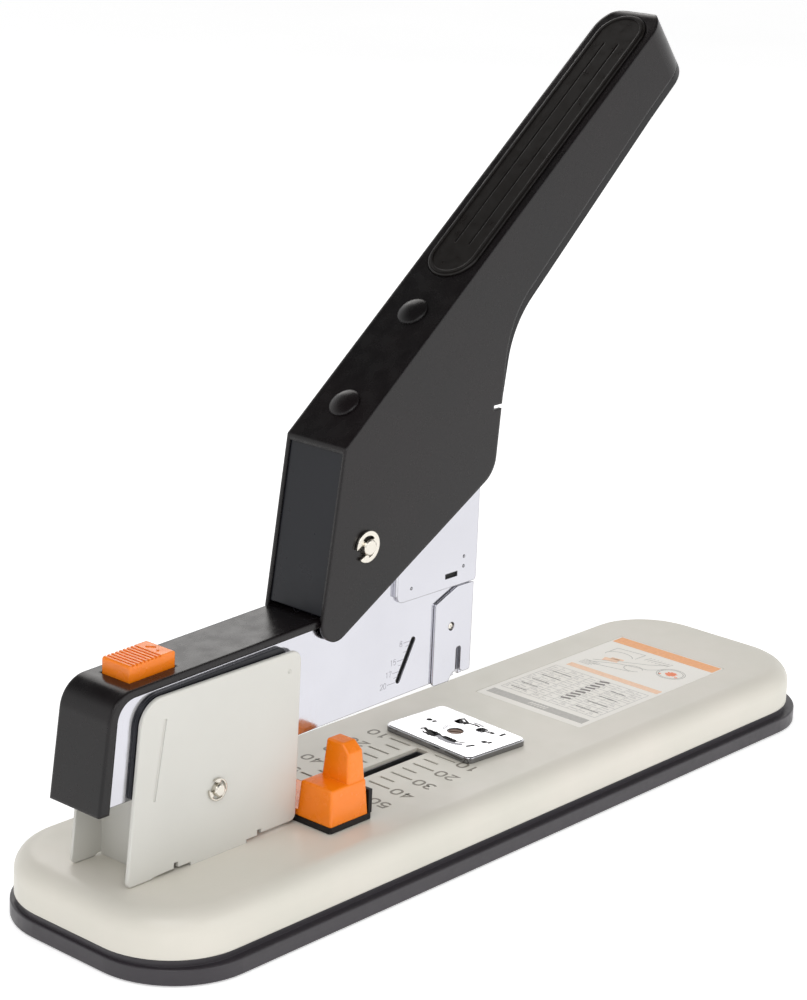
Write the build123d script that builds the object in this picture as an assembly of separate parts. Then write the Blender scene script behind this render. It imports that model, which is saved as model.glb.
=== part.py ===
"""Heavy-duty desktop lever stapler, one STEP file for each separate piece.

Millimetres, +Z up.  The origin is the bottom centre of the base, +X points to
the front end of the base (the label), and the arm hinges at the rear (-X).
"""

import os
from math import cos, radians, sin, tan
from build123d import *

# ---------------------------------------------------------------- dimensions
# Base
BASE_LENGTH = 308.6
BASE_WIDTH = 81.4
BASE_TOP = 20.0
BASE_CORNER = 26.5
FOOT_HEIGHT = 0.6
TRAY_SKIRT_TOP = 5.2
TRAY_WALL_TOP = 7.4
TRAY_WALL = 3.0
TRAY_FLOOR = 2.6
COVER_LENGTH = 304.8
COVER_WIDTH = 77.4
COVER_SHIFT = -1.3
COVER_WALL = 1.2
COVER_OVERHANG = 0.6
COVER_CORNER = 25.0
COVER_EDGE_RADIUS = 6.0
PLATE_THICK = 2.0
PLATE_LENGTH = 272.0
PLATE_WIDTH = 60.0
SCREW_X = 118.0
SCREW_Y = 22.0
FEET_X = 132.0
FEET_Y = 24.0

# Depth scale and its track
TRACK_FRONT = -9.7
TRACK_REAR = -88.0
TRACK_WIDTH = 4.8
SCALE_STEP = 5.0
SCALE_FIRST = 10.0
SCALE_LAST = 60.0
MARK_DEPTH = 0.3
MARK_WIDTH = 0.8
MARK_INNER = 5.0
MARK_LONG = 8.4
MARK_SHORT = 5.7

# Anvil
ANVIL_X = 5.5
ANVIL_LENGTH = 26.0
ANVIL_WIDTH = 37.2
ANVIL_THICK = 2.0
ANVIL_GAP = 0.15
ANVIL_TURN = -4.0
CLINCH_OFFSET = 7.0
CLINCH_LEG = 6.4

# Label
LABEL_LOW_X = 41.0
LABEL_HIGH_X = 120.0
LABEL_HALF = 21.6
LABEL_RECESS = 0.4
LABEL_THICK = 0.35

# Rear guard and the arm's hinge
HINGE_X = -110.5
HINGE_Z = BASE_TOP + 20.0
HINGE_PIN_R = 1.9
GUARD_INNER = 10.55
GUARD_OUTER = 11.75
RUNNING_CLEARANCE = 0.05

# Arm
ARM_SLOPE = 1.0
ARM_REAR_X = -152.0
ARM_REAR_Z = BASE_TOP + 24.3
HOUSING_OUTER = 9.2
HOUSING_WALL = 0.9
HOUSING_FRONT = -2.5
COVER_HALF = 10.0
COVER_FLANGE = 2.2
COVER_STRIP = 0.8
CHEEK_OUTER = 10.2
HEAD_OUTER = 10.0
NOSE_INNER = 9.3
NOSE_OUTER = 10.0
NOSE_FRONT = -1.4

# Magazine, in the arm's own direction from the rear end
TRAY_START = 6.5
TRAY_END = 148.2
TRAY_OUTER = 8.0
TRAY_WALL = 1.1
CORE_HALF = 5.7
CORE_TOP = 15.9
STAPLE_HALF = 6.5
STAPLE_TOP = 16.6
STRIP_START = 88.0
ROD_Z = 9.0
ROD_R = 1.2
LATCH_WINDOW_END = 26.0

# Windows in the head's sides
GAUGE_HALF_WIDTH = 0.95
KEYHOLE_X = (-8.2, -6.0)

# Release button
BUTTON_X = (-137.6, -120.9)
BUTTON_HALF = 5.5
BUTTON_GAP = 0.3
BUTTON_RISE = 4.6
RIDGES = 8
RIDGE_PITCH = 1.4

# Depth stop
STOP_REAR = -77.4
STOP_FRONT = -59.8
STOP_GAP = 0.2
STOP_INNER = 10.7

# Driver
DRIVER_BACK = -3.4
DRIVER_FRONT = -2.5
DRIVER_HALF = 6.2

# Handle
PIVOT_X = -52.1
PIVOT_Z = BASE_TOP + 77.7
PIVOT_PIN_R = 2.4
HANDLE_OUTER = 11.4
HANDLE_INNER = 10.3
HANDLE_WALL = HANDLE_OUTER - HANDLE_INNER
HANDLE_SLOPE = 39.1
HANDLE_TOP_X = -62.0
HANDLE_TOP_Z = BASE_TOP + 108.2
HANDLE_END_X = 78.0
LEVER_LENGTH = 43.0
LEVER_REST = 16.0
LINK_PIN_R = 1.8
PAD_CENTRE = 31.2
PAD_LENGTH = 111.0
PAD_HALF = 8.8
RIVET_X = (-50.8, -23.0)
RIVET_RADIUS = 4.7


# ------------------------------------------------------------------- helpers
def plate(points, y_low, y_high, radii=0):
    """Flat plate that stands in the XZ plane between two Y values."""
    corners = [Vector(x, y_low, z) for x, z in points]
    outline = FilletPolyline(*corners, radius=radii, close=True)
    return extrude(make_face(outline), amount=y_high - y_low, dir=(0, 1, 0))


def block(x, y, z):
    """Box given by its (low, high) limits on each axis."""
    size = [high - low for low, high in (x, y, z)]
    centre = [(high + low) / 2 for low, high in (x, y, z)]
    return Pos(*centre) * Box(*size)


def cross_pin(x, z, radius, half_length):
    """Round pin along Y, centred on the middle plane."""
    return Pos(x, 0, z) * Rot(90, 0, 0) * Cylinder(radius, 2 * half_length)


def upright(x, y, radius, z_low, z_high):
    """Round post along Z."""
    return Pos(x, y, (z_low + z_high) / 2) * Cylinder(radius, z_high - z_low)


def rounded_slab(length, width, corner, z_low, z_high, shift=0.0):
    """Flat slab with rounded corners in plan."""
    outline = Pos(shift, 0, z_low) * RectangleRounded(length, width, corner)
    return extrude(outline, amount=z_high - z_low)


def both_sides(part):
    """The part and its mirror image across the middle plane."""
    return part + mirror(part, about=Plane.XZ)


def coil(radius, wire, pitch, length):
    """Helical spring along +Z from the origin."""
    path = Helix(pitch, length, radius)
    start = Plane(origin=path @ 0, z_dir=path % 0)
    return sweep(start * Circle(wire / 2), path=path)


def e_clip(x, z, y, pin_radius, clip_radius, thick, turn):
    """Retaining clip in the XZ plane: a ring with three lugs and an open mouth."""
    ring = Cylinder(clip_radius, thick) - Cylinder(pin_radius + 0.9, thick)
    for angle in (0, 125, -125):
        reach = (clip_radius - pin_radius) - 0.4
        lug = Pos(pin_radius + reach / 2, 0, 0) * Box(reach, 1.8, thick)
        ring += Rot(0, 0, angle) * lug
    ring -= Pos(-clip_radius, 0, 0) * Box(clip_radius * 1.3, pin_radius * 1.5, thick)
    return Pos(x, y, z) * Rot(90, 0, 0) * Rot(0, 0, turn) * ring


def arm_frame(part):
    """Move a part from the magazine's own frame to its place in the arm."""
    return Pos(ARM_REAR_X, 0, ARM_REAR_Z) * Rot(0, -ARM_SLOPE, 0) * part


def arm_bottom(x):
    """Height of the magazine housing's lower edge."""
    return ARM_REAR_Z + (x - ARM_REAR_X) * tan(radians(ARM_SLOPE))


def cover_top(x):
    """Height of the arm's black top cover."""
    return BASE_TOP + 56.0 + 0.038 * (x + 143.0)


def handle_top(x):
    """Height of the handle's sloping top face."""
    return HANDLE_TOP_Z + (x - HANDLE_TOP_X) * tan(radians(HANDLE_SLOPE))


# ---------------------------------------------------------------------- base
def under_cover_slab(inset, z_low, z_high):
    """Rounded slab that follows the cover's outline, a given distance inside it."""
    return rounded_slab(
        COVER_LENGTH - 2 * inset, COVER_WIDTH - 2 * inset, COVER_CORNER - inset, z_low, z_high, COVER_SHIFT
    )


def base_tray():
    """Moulded bottom tray with a low skirt, a wall under the cover and screw posts."""
    tray = rounded_slab(BASE_LENGTH, BASE_WIDTH, BASE_CORNER, FOOT_HEIGHT, TRAY_SKIRT_TOP)
    tray = fillet(tray.faces().sort_by(Axis.Z)[-1].edges(), 0.5)
    tray += under_cover_slab(COVER_OVERHANG, TRAY_FLOOR, TRAY_WALL_TOP)
    tray -= under_cover_slab(COVER_OVERHANG + TRAY_WALL, TRAY_FLOOR, TRAY_WALL_TOP)
    plate_bottom = BASE_TOP - COVER_WALL - PLATE_THICK
    for x in (-SCREW_X, SCREW_X):
        for y in (-SCREW_Y, SCREW_Y):
            tray += upright(x, y, 4.5, TRAY_FLOOR, plate_bottom)
            tray -= upright(x, y, 1.6, FOOT_HEIGHT, plate_bottom)
            tray -= upright(x, y, 3.6, FOOT_HEIGHT, 3.4)
    for x, y in feet_places():
        tray -= upright(x, y, 7.1, FOOT_HEIGHT, FOOT_HEIGHT + 1.0)
    return tray


def feet_places():
    """Centres of the four rubber feet."""
    return [(x, y) for x in (-FEET_X, FEET_X) for y in (-FEET_Y, FEET_Y)]


def rubber_feet():
    """Four round feet pressed into pockets under the tray."""
    feet = [upright(x, y, 7.0, 0, FOOT_HEIGHT + 1.0) for x, y in feet_places()]
    return Part() + feet


def cover_solid(inset, z_low):
    """Outer or inner form of the pressed cover, with its soft top edge."""
    form = under_cover_slab(inset, z_low, BASE_TOP - inset)
    rim = form.faces().sort_by(Axis.Z)[-1].edges()
    return fillet(rim, COVER_EDGE_RADIUS - inset)


def scale_marks():
    """Short and long strokes of the depth scale, each side of the track."""
    marks = Part()
    steps = int((SCALE_LAST - SCALE_FIRST) / SCALE_STEP) + 1
    for step in range(steps):
        x = -(SCALE_FIRST + step * SCALE_STEP)
        reach = MARK_SHORT if step % 2 else MARK_LONG
        stroke = block(
            (x - MARK_WIDTH / 2, x + MARK_WIDTH / 2),
            (MARK_INNER, MARK_INNER + reach),
            (BASE_TOP - MARK_DEPTH, BASE_TOP + 1),
        )
        marks += both_sides(stroke)
    return marks


def guard_tab_slots(gap):
    """Slots that the guard's fixing tabs go down through."""
    slot = block((-120 - gap, -98 + gap), (GUARD_INNER - gap, GUARD_OUTER + gap), (10, 30))
    return both_sides(slot)


def base_cover():
    """Painted pressed-steel cover, open below."""
    cover = cover_solid(0, TRAY_WALL_TOP) - cover_solid(COVER_WALL, TRAY_WALL_TOP)
    half = TRACK_WIDTH / 2
    cover -= block((TRACK_REAR, TRACK_FRONT), (-half, half), (10, 30))
    cover -= upright(ANVIL_X, 0, 4.2, 10, 30)
    cover -= guard_tab_slots(0.0)
    cover -= block(
        (LABEL_LOW_X, LABEL_HIGH_X), (-LABEL_HALF, LABEL_HALF), (BASE_TOP - LABEL_RECESS, 30)
    )
    return cover - scale_marks()


def base_plate():
    """Flat steel plate under the cover that carries the hinge and the anvil."""
    top = BASE_TOP - COVER_WALL
    sheet = rounded_slab(PLATE_LENGTH, PLATE_WIDTH, 12, top - PLATE_THICK, top, -4)
    half = TRACK_WIDTH / 2
    sheet -= block((TRACK_REAR, TRACK_FRONT), (-half, half), (10, 30))
    sheet -= upright(ANVIL_X, 0, 3.0 + RUNNING_CLEARANCE, 10, 30)
    sheet -= guard_tab_slots(0.0)
    for x in (-SCREW_X, SCREW_X):
        for y in (-SCREW_Y, SCREW_Y):
            sheet -= upright(x, y, 1.5, 10, 30)
    return sheet


def base_screws():
    """Four pan-head screws from below into the steel plate."""
    screws = Part()
    for x in (-SCREW_X, SCREW_X):
        for y in (-SCREW_Y, SCREW_Y):
            shank = upright(x, y, 1.5, 1.4, BASE_TOP - COVER_WALL)
            head = upright(x, y, 3.3, 1.4, 3.4)
            recess = block((x - 0.4, x + 0.4), (y - 2.4, y + 2.4), (1.0, 2.2))
            screws += shank + head - recess
    return screws


def label_card():
    """Instruction card in its shallow recess."""
    low = BASE_TOP - LABEL_RECESS
    card = block((LABEL_LOW_X, LABEL_HIGH_X), (-LABEL_HALF, LABEL_HALF), (low, low + LABEL_THICK))
    return fillet(card.edges().filter_by(Axis.Z), 1.0)


# --------------------------------------------------------------------- anvil
def anvil_plate():
    """Turning clinch plate with two rows of leg pockets."""
    low = BASE_TOP + ANVIL_GAP
    top = low + ANVIL_THICK
    slab = extrude(Pos(0, 0, low) * RectangleRounded(ANVIL_LENGTH, ANVIL_WIDTH, 2.5), ANVIL_THICK)
    slab = chamfer(slab.faces().sort_by(Axis.Z)[-1].edges(), 0.4)
    for row, reach in ((-CLINCH_OFFSET, 6.0), (CLINCH_OFFSET, 3.4)):
        for side in (-1, 1):
            outer = side * CLINCH_LEG
            inner = outer - side * reach
            y_limits = (min(outer, inner), max(outer, inner))
            pocket = block((row - 1.7, row + 1.7), y_limits, (top - 1.1, top + 1))
            slab -= fillet(pocket.edges().filter_by(Axis.Z), 1.2)
    for side in (-1, 1):
        slab -= upright(0.5, side * 12.0, 0.9, top - 1.0, top + 1)
    slab -= upright(0, 0, 2.6, top - 1.0, top + 1)
    slab -= upright(0, 0, 2.0, low - 1, top)
    return Pos(ANVIL_X, 0, 0) * Rot(0, 0, ANVIL_TURN) * slab


def anvil_screw():
    """Screw that the clinch plate turns about."""
    top = BASE_TOP + ANVIL_GAP + ANVIL_THICK
    head = upright(ANVIL_X, 0, 2.6, top - 1.0, top - 0.3)
    shank = upright(ANVIL_X, 0, 2.0, 8.5, top - 1.0)
    drive = Pos(ANVIL_X, 0, top - 0.5) * Rot(0, 0, 35) * Box(0.6, 4.0, 0.5)
    return head + shank - drive


def anvil_bush():
    """Flanged bush between the clinch plate and the base plate."""
    low = BASE_TOP - COVER_WALL - PLATE_THICK
    body = upright(ANVIL_X, 0, 3.0, low, BASE_TOP + ANVIL_GAP)
    return body - upright(ANVIL_X, 0, 2.0, low - 1, BASE_TOP + 1)


def anvil_nut():
    """Hexagon nut on the lower end of the anvil screw."""
    nut = extrude(Pos(ANVIL_X, 0, 9.0) * RegularPolygon(3.9, 6), 2.4)
    return nut - upright(ANVIL_X, 0, 2.0, 8, 12)


def anvil_spring():
    """Light spring that keeps the clinch plate down."""
    turns = Pos(ANVIL_X, 0, 12.2) * coil(2.9, 0.7, 1.25, 3.9)
    return turns


# ---------------------------------------------------------------- depth stop

def depth_stop_base():
    """Black slider with an upright paper edge wall each side of the arm."""
    low = BASE_TOP + STOP_GAP
    sole = block((STOP_REAR, STOP_FRONT), (-24.4, 24.4), (low, low + 1.8))
    sole = fillet(sole.edges().filter_by(Axis.Z), 1.0)
    wall = block((STOP_FRONT - 1.4, STOP_FRONT), (STOP_INNER, 24.2), (low + 1.8, low + 9.0))
    guide = block((-72, -64), (-2.1, 2.1), (14.6, low))
    return sole + both_sides(wall) + guide


def soften(part, low, radius):
    """Round every edge of a part above a given height."""
    return fillet([edge for edge in part.edges() if edge.center().Z > low + 0.5], radius)


def depth_stop():
    """Orange grip blocks of the depth stop, joined by a thin bridge."""
    low = BASE_TOP + STOP_GAP + 1.8
    front = STOP_FRONT - 1.4
    middle = (STOP_INNER + 24.2) / 2
    width = 24.2 - STOP_INNER
    length = front - STOP_REAR - 0.3
    foot = Pos(front - length / 2, -middle, low) * Rectangle(length, width)
    grip = extrude(foot, BASE_TOP + 12.8 - low, taper=3.5)
    tower_foot = Pos(front - 4.4, -middle - 0.5, low) * Rectangle(8.8, width - 1.6)
    tower = extrude(tower_foot, BASE_TOP + 24.2 - low, taper=4.0)
    crown = tower.faces().sort_by(Axis.Z)[-1].edges().filter_by(Axis.X).sort_by(Axis.Y)[0]
    tower = soften(chamfer(crown, 2.6), low, 0.8)
    grip = soften(grip, low, 0.8) + tower
    bridge = block((STOP_REAR + 0.5, front), (-STOP_INNER - 1, STOP_INNER + 1), (low, low + 1.8))
    return both_sides(grip) + bridge


def depth_stop_clip():
    """Steel keeper under the base plate that holds the slider down."""
    keeper = block((-74, -62), (-7, 7), (13.4, 14.6))
    return fillet(keeper.edges().filter_by(Axis.Z), 2.0)


# --------------------------------------------------------------------- guard
def guard_bracket():
    """Two tall side plates and a cross wall, folded from one steel sheet."""
    z = BASE_TOP
    outline = [
        (-143.4, z + 0.2), (-138.2, z + 52.4), (-77.8, z + 53.0), (-78.4, z + 1.2),
        (-92.4, z + 1.2), (-92.4, z + 2.6), (-94.0, z + 2.6), (-94.0, z + 1.0),
        (-124.6, z + 1.0), (-124.6, z + 2.6), (-126.2, z + 2.6), (-126.2, z + 1.0),
        (-134.0, z + 0.8), (-135.0, z + 0.2),
    ]
    radii = [1.5, 8.0, 3.5, 2.0, 0, 0, 0, 0, 0, 0, 0, 0, 0, 0]
    side = plate(outline, GUARD_INNER, GUARD_OUTER, radii)
    side += block((-119.8, -98.2), (GUARD_INNER, GUARD_OUTER), (z - 3.2, z + 2))
    rim = side.faces().sort_by(Axis.Y)[-1].edges()
    tall = rim.filter_by(lambda edge: edge.bounding_box().max.Z > z + 10)
    side = fillet(tall, 0.5)
    side -= cross_pin(HINGE_X, HINGE_Z, HINGE_PIN_R, 20)
    crease = block((-0.4, 0.4), (GUARD_OUTER - 0.25, GUARD_OUTER + 1), (-11.5, 11.5))
    side -= Pos(-131.9, 0, z + 34.4) * Rot(0, 9.6, 0) * crease
    side -= Pos(-82.6, GUARD_OUTER + 0.3, z + 47.5) * Sphere(0.8)
    wall = block((-132.6, -131.4), (-GUARD_INNER, GUARD_INNER), (z, z + 20))
    return both_sides(side) + wall


def hinge_pin():
    """Pin that the arm tilts on."""
    pin = cross_pin(HINGE_X, HINGE_Z, HINGE_PIN_R, 13.6)
    return chamfer(pin.edges().filter_by(GeomType.CIRCLE), 0.4)


def hinge_clips():
    """Retaining clips on both ends of the hinge pin."""
    return both_sides(e_clip(HINGE_X, HINGE_Z, GUARD_OUTER + 0.45, HINGE_PIN_R, 3.3, 0.8, -35))


def arm_return_spring():
    """Torsion spring on the hinge pin that lifts the arm."""
    turns = Pos(HINGE_X, -7, HINGE_Z) * Rot(-90, 0, 0) * coil(3.2, 1.1, 1.4, 14)
    low_leg = upright(HINGE_X - 3.2, -7, 0.55, BASE_TOP + 0.4, HINGE_Z)
    high_leg = Pos(HINGE_X + 7, 7, HINGE_Z + 3.2) * Rot(0, 90, 0) * Cylinder(0.55, 14)
    return turns + low_leg + high_leg


# ----------------------------------------------------------------------- arm
def housing_outline():
    """Side view of the magazine housing, with the tall head at its front."""
    z = BASE_TOP
    rear = ARM_REAR_X + 0.9
    return [
        (rear, arm_bottom(rear)),
        (-146.8, cover_top(-147.0) - COVER_STRIP),
        (-62.0, cover_top(-62.0) - COVER_STRIP),
        (-62.0, z + 80.0),
        (-54.0, z + 92.0),
        (HOUSING_FRONT, z + 92.0),
        (HOUSING_FRONT, arm_bottom(HOUSING_FRONT)),
    ]


def magazine_housing():
    """Plated steel channel, closed on top, that carries the magazine and head."""
    z = BASE_TOP
    radii = [0, 9.0, 0, 2, 2, 2, 0.5]
    shell = plate(housing_outline(), -HOUSING_OUTER, HOUSING_OUTER, radii)
    inner = HOUSING_OUTER - HOUSING_WALL
    hollow = [
        (-151.2, z - 10), (-150.3, arm_bottom(-150)), (-145.0, cover_top(-145) - 1.7),
        (-62.0, cover_top(-62) - 1.7), (-14.0, cover_top(-14) - 1.7), (-14.0, z + 120),
        (10, z + 120), (10, z - 10),
    ]
    shell -= plate(hollow, -inner, inner)
    head_void = [
        (-70, cover_top(-70) - 0.8), (-13.5, cover_top(-13.5) - 0.8), (-13.5, z + 120), (-70, z + 120),
    ]
    shell -= plate(head_void, -inner, inner)
    shell -= cross_pin(PIVOT_X, PIVOT_Z, PIVOT_PIN_R, 20)
    shell -= plate(gauge_slot(), -20, 20, GAUGE_HALF_WIDTH - 0.05)
    shell -= Pos(-10.9, 0, z + 43.3) * Rot(90, 0, 0) * Cylinder(1.3, 40)
    shell -= block((-4.3, 10), (-20, 20), (z, z + 46))
    shell -= keyhole(20)
    shell -= block(BUTTON_X, (-BUTTON_HALF, BUTTON_HALF), (z + 50, z + 60))
    return shell


def keyhole(reach):
    """Upright slot, open below, through the head's sides."""
    low, high = KEYHOLE_X
    corners = [(low, BASE_TOP + 20), (low, BASE_TOP + 36), (high, BASE_TOP + 36), (high, BASE_TOP + 20)]
    return plate(corners, -reach, reach, [0, 0.8, 0.8, 0])


def gauge_slot():
    """Corners of the slanted staple-length window."""
    low = Vector(-33.9, BASE_TOP + 30.7)
    high = Vector(-26.9, BASE_TOP + 43.6)
    along = (high - low).normalized()
    across = Vector(-along.Y, along.X) * GAUGE_HALF_WIDTH
    return [(p.X, p.Y) for p in (low - across, low + across, high + across, high - across)]


def top_cover():
    """Black cover strip over the arm, bent down over its rear end."""
    z = BASE_TOP
    rear_low = (-152.2, z + 22.8)
    outer = [rear_low, (-147.8, cover_top(-147.8)), (-63.0, cover_top(-63.0)),
             (-63.0, z + 10), (-140.0, z + 10)]
    strip = plate(outer, -COVER_HALF, COVER_HALF, [0, 9.0, 0, 0, 0])
    strip = fillet(strip.edges().filter_by(GeomType.LINE).filter_by(
        lambda edge: edge.bounding_box().min.Z > z + 50 and abs(edge.center().Y) > 9), 0.6)
    inner = [(-151.35, z), (-151.33, z + 22.8), (-147.0, cover_top(-147) - COVER_STRIP),
             (-60.0, cover_top(-60) - COVER_STRIP), (-60.0, z)]
    strip -= plate(inner, -HOUSING_OUTER, HOUSING_OUTER, [0, 0, 8.2, 0, 0])
    below = [(-149.4, z), (-148.6, z + 22.0), (-145.2, cover_top(-145) - COVER_FLANGE),
             (-60.0, cover_top(-60) - COVER_FLANGE), (-60.0, z)]
    strip -= plate(below, -20, 20, [0, 0, 6.5, 0, 0])
    strip -= block((-156, -138), (-20, 20), (z, z + 22.8))
    gap = BUTTON_GAP
    strip -= block(
        (BUTTON_X[0] - gap, BUTTON_X[1] + gap), (-BUTTON_HALF - gap, BUTTON_HALF + gap), (z + 50, z + 70)
    )
    return strip


def arm_cheek():
    """Dark side plate that joins the arm to the hinge pin."""
    z = BASE_TOP
    outline = [
        (-141.2, z + 25.0), (-138.6, z + 52.8), (-82.6, z + 54.9), (-83.6, z + 22.0),
        (-104.0, z + 12.0), (-117.0, z + 12.0), (-124.0, z + 23.4),
    ]
    cheek = plate(outline, HOUSING_OUTER, CHEEK_OUTER, [1, 9, 3, 4, 7, 5, 2])
    return cheek - cross_pin(HINGE_X, HINGE_Z, HINGE_PIN_R + RUNNING_CLEARANCE, 20)


def head_plate():
    """Outer head plate, folded round the front of the housing."""
    z = BASE_TOP
    outline = [(-36.2, z + 56.0), (-36.2, z + 95.0), (-0.6, z + 95.0), (-0.6, z + 56.0)]
    side = plate(outline, HOUSING_OUTER, HEAD_OUTER, [2.5, 2, 2, 1])
    side -= block((-14.8, -9.3), (0, 20), (z + 59.0, z + 60.5))
    ridge = block((-37.2, -36.2), (HOUSING_OUTER, HEAD_OUTER + 0.2), (z + 58.4, z + 66.0))
    front = block((-1.4, -0.6), (-HEAD_OUTER, HEAD_OUTER), (z + 57.0, z + 72.0))
    return both_sides(side + ridge) + front


def nose_plate():
    """Front cap of the magazine tray, folded round the nose."""
    z = BASE_TOP
    outline = [
        (-18.5, z + 25.8), (-18.5, z + 51.6), (-8.8, z + 55.6), (NOSE_FRONT, z + 55.6),
        (NOSE_FRONT, z + 27.4), (-4.6, z + 27.4), (-5.8, z + 28.2), (-9.6, z + 28.2), (-11.2, z + 25.8),
    ]
    side = plate(outline, NOSE_INNER, NOSE_OUTER, [1, 1, 1, 1, 0.8, 0.5, 0.5, 1, 1])
    side -= cross_pin(-10.9, z + 43.3, 1.3, 20)
    side -= keyhole(20)
    front = block((NOSE_FRONT - 0.8, NOSE_FRONT), (-NOSE_OUTER, NOSE_OUTER), (z + 27.6, z + 55.4))
    return both_sides(side) + front


# ------------------------------------------------------------------ magazine
def magazine_tray():
    """Sliding tray: outer walls and a raised core that the staples straddle."""
    walls = block((TRAY_START, TRAY_END), (-TRAY_OUTER, TRAY_OUTER), (0.8, 17.8))
    trench = TRAY_OUTER - TRAY_WALL
    walls -= block((0, 160), (-trench, trench), (1.8, 20))
    core = block((TRAY_START, TRAY_END), (-CORE_HALF, CORE_HALF), (1.8, CORE_TOP))
    core -= block((TRAY_START + 1.2, 160), (-CORE_HALF + 1, CORE_HALF - 1), (1.8, CORE_TOP - 1))
    core -= Pos(TRAY_START, 0, ROD_Z) * Rot(0, 90, 0) * Cylinder(ROD_R, 6)
    core -= block((0, LATCH_WINDOW_END), (-3.3, 3.3), (11.2, CORE_TOP + 1))
    core -= block((LATCH_WINDOW_END - 1, STRIP_START), (-1.3, 1.3), (CORE_TOP - 2, CORE_TOP + 1))
    return arm_frame(walls + core)


def tray_front_block():
    """Spacer that joins the nose cap's side plates to the tray."""
    return both_sides(block((-3.8, NOSE_FRONT - 0.8), (6.9, NOSE_INNER), (BASE_TOP + 29, BASE_TOP + 44)))


def staple_strip():
    """Strip of glued staples over the magazine core."""
    strip = block((STRIP_START, TRAY_END - 0.4), (-STAPLE_HALF, STAPLE_HALF), (2.0, STAPLE_TOP))
    strip -= block((80, 160), (-CORE_HALF - 0.1, CORE_HALF + 0.1), (0, CORE_TOP + 0.05))
    return arm_frame(strip)


def staple_pusher():
    """Follower that pushes the staples to the nose."""
    body = block((80.5, 87.6), (-STAPLE_HALF, STAPLE_HALF), (2.4, STAPLE_TOP + 1.6))
    body -= block((70, 100), (-CORE_HALF - 0.3, CORE_HALF + 0.3), (0, CORE_TOP + 0.3))
    foot = block((81.5, 86.5), (-4.2, 4.2), (5.0, 13.0))
    neck = block((82, 86), (-1.0, 1.0), (12.0, CORE_TOP + 1.5))
    foot -= Pos(84, 0, ROD_Z) * Rot(0, 90, 0) * Cylinder(ROD_R + RUNNING_CLEARANCE, 20)
    return arm_frame(body + foot + neck)


def guide_rod():
    """Rod that the follower spring runs on."""
    length = TRAY_END - 1.0 - TRAY_START
    rod = Pos(TRAY_START + length / 2, 0, ROD_Z) * Rot(0, 90, 0) * Cylinder(ROD_R, length)
    return arm_frame(rod)


def pusher_spring():
    """Long compression spring behind the follower."""
    turns = Pos(TRAY_START + 1.7, 0, ROD_Z) * Rot(0, 90, 0) * coil(1.9, 0.6, 3.8, 72)
    return arm_frame(turns)


# ------------------------------------------------------------ release button
def release_button():
    """Magazine release button with transverse grip ridges."""
    z = BASE_TOP
    low_x, high_x = BUTTON_X
    top_rear = cover_top(low_x) + BUTTON_RISE
    top_front = cover_top(high_x) + BUTTON_RISE
    outline = [(low_x, z + 54.6), (low_x, top_rear), (high_x, top_front), (high_x, z + 54.6)]
    button = plate(outline, -BUTTON_HALF + 0.2, BUTTON_HALF - 0.2, [0, 0.8, 0.8, 0])
    for step in range(RIDGES):
        x = low_x + 1.5 + step * RIDGE_PITCH
        groove = Pos(x, 0, cover_top(x) + BUTTON_RISE) * Box(0.6, 2 * BUTTON_HALF, 0.9)
        button -= groove
    return button


def latch_plate():
    """Latch stem under the button, reaching the tray's window."""
    return block((-130.4, -128.4), (-2.6, 2.6), (BASE_TOP + 39.0, BASE_TOP + 54.6))


def latch_bracket():
    """Shelf across the housing that guides the latch and its spring."""
    inner = HOUSING_OUTER - HOUSING_WALL
    shelf = block((-139, -120), (-inner, inner), (BASE_TOP + 45.0, BASE_TOP + 46.0))
    return shelf - block((-130.8, -128.0), (-3.0, 3.0), (BASE_TOP + 40, BASE_TOP + 50))


def button_spring():
    """Spring that lifts the release button."""
    return Pos(-134.0, 0, BASE_TOP + 46.3) * coil(2.6, 0.6, 1.5, 7.9)


# -------------------------------------------------------------------- driver
def link_centre():
    """Centre of the lever's tip pin at rest."""
    angle = radians(LEVER_REST)
    return PIVOT_X + LEVER_LENGTH * cos(angle), PIVOT_Z + LEVER_LENGTH * sin(angle)


def driver_blade():
    """Flat driver with two folded ears that take the lever's pin."""
    z = BASE_TOP
    pin_x, pin_z = link_centre()
    blade = block((DRIVER_BACK, DRIVER_FRONT), (-DRIVER_HALF, DRIVER_HALF), (z + 49.8, z + 93.5))
    ear = block((pin_x - 3.6, DRIVER_BACK), (4.2, DRIVER_HALF), (pin_z - 4.8, pin_z + 4.0))
    slot = block((pin_x - 2.4, pin_x + 5.0), (0, 20), (pin_z - LINK_PIN_R - 0.35, pin_z + LINK_PIN_R + 0.35))
    return blade + both_sides(ear - slot)


# -------------------------------------------------------------------- handle
def slope_frame(x):
    """Plane on the handle's top face: local X runs up the slope, local Z outward."""
    tilt = radians(HANDLE_SLOPE)
    return Plane(
        origin=(x, 0, handle_top(x)),
        x_dir=(cos(tilt), 0, sin(tilt)),
        z_dir=(-sin(tilt), 0, cos(tilt)),
    )


def handle_side_outline(lower_trim):
    """Side view of the handle.  lower_trim lifts the long grip's lower edge."""
    z = BASE_TOP
    tilt = radians(HANDLE_SLOPE)
    end_x = HANDLE_END_X
    end_z = handle_top(end_x)
    depth = 20.5 - lower_trim
    return [
        (HANDLE_TOP_X, HANDLE_TOP_Z),
        (-71.1, z + 46.2),
        (4.2, z + 89.2),
        (6.2, z + 112.0),
        (9.6 - lower_trim * 0.6, z + 133.4 + lower_trim * 0.8),
        (71.0 - lower_trim * 0.63, z + 189.0 + lower_trim * 0.776),
        (end_x + depth * sin(tilt), end_z - depth * cos(tilt)),
        (end_x, end_z),
    ]


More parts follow.
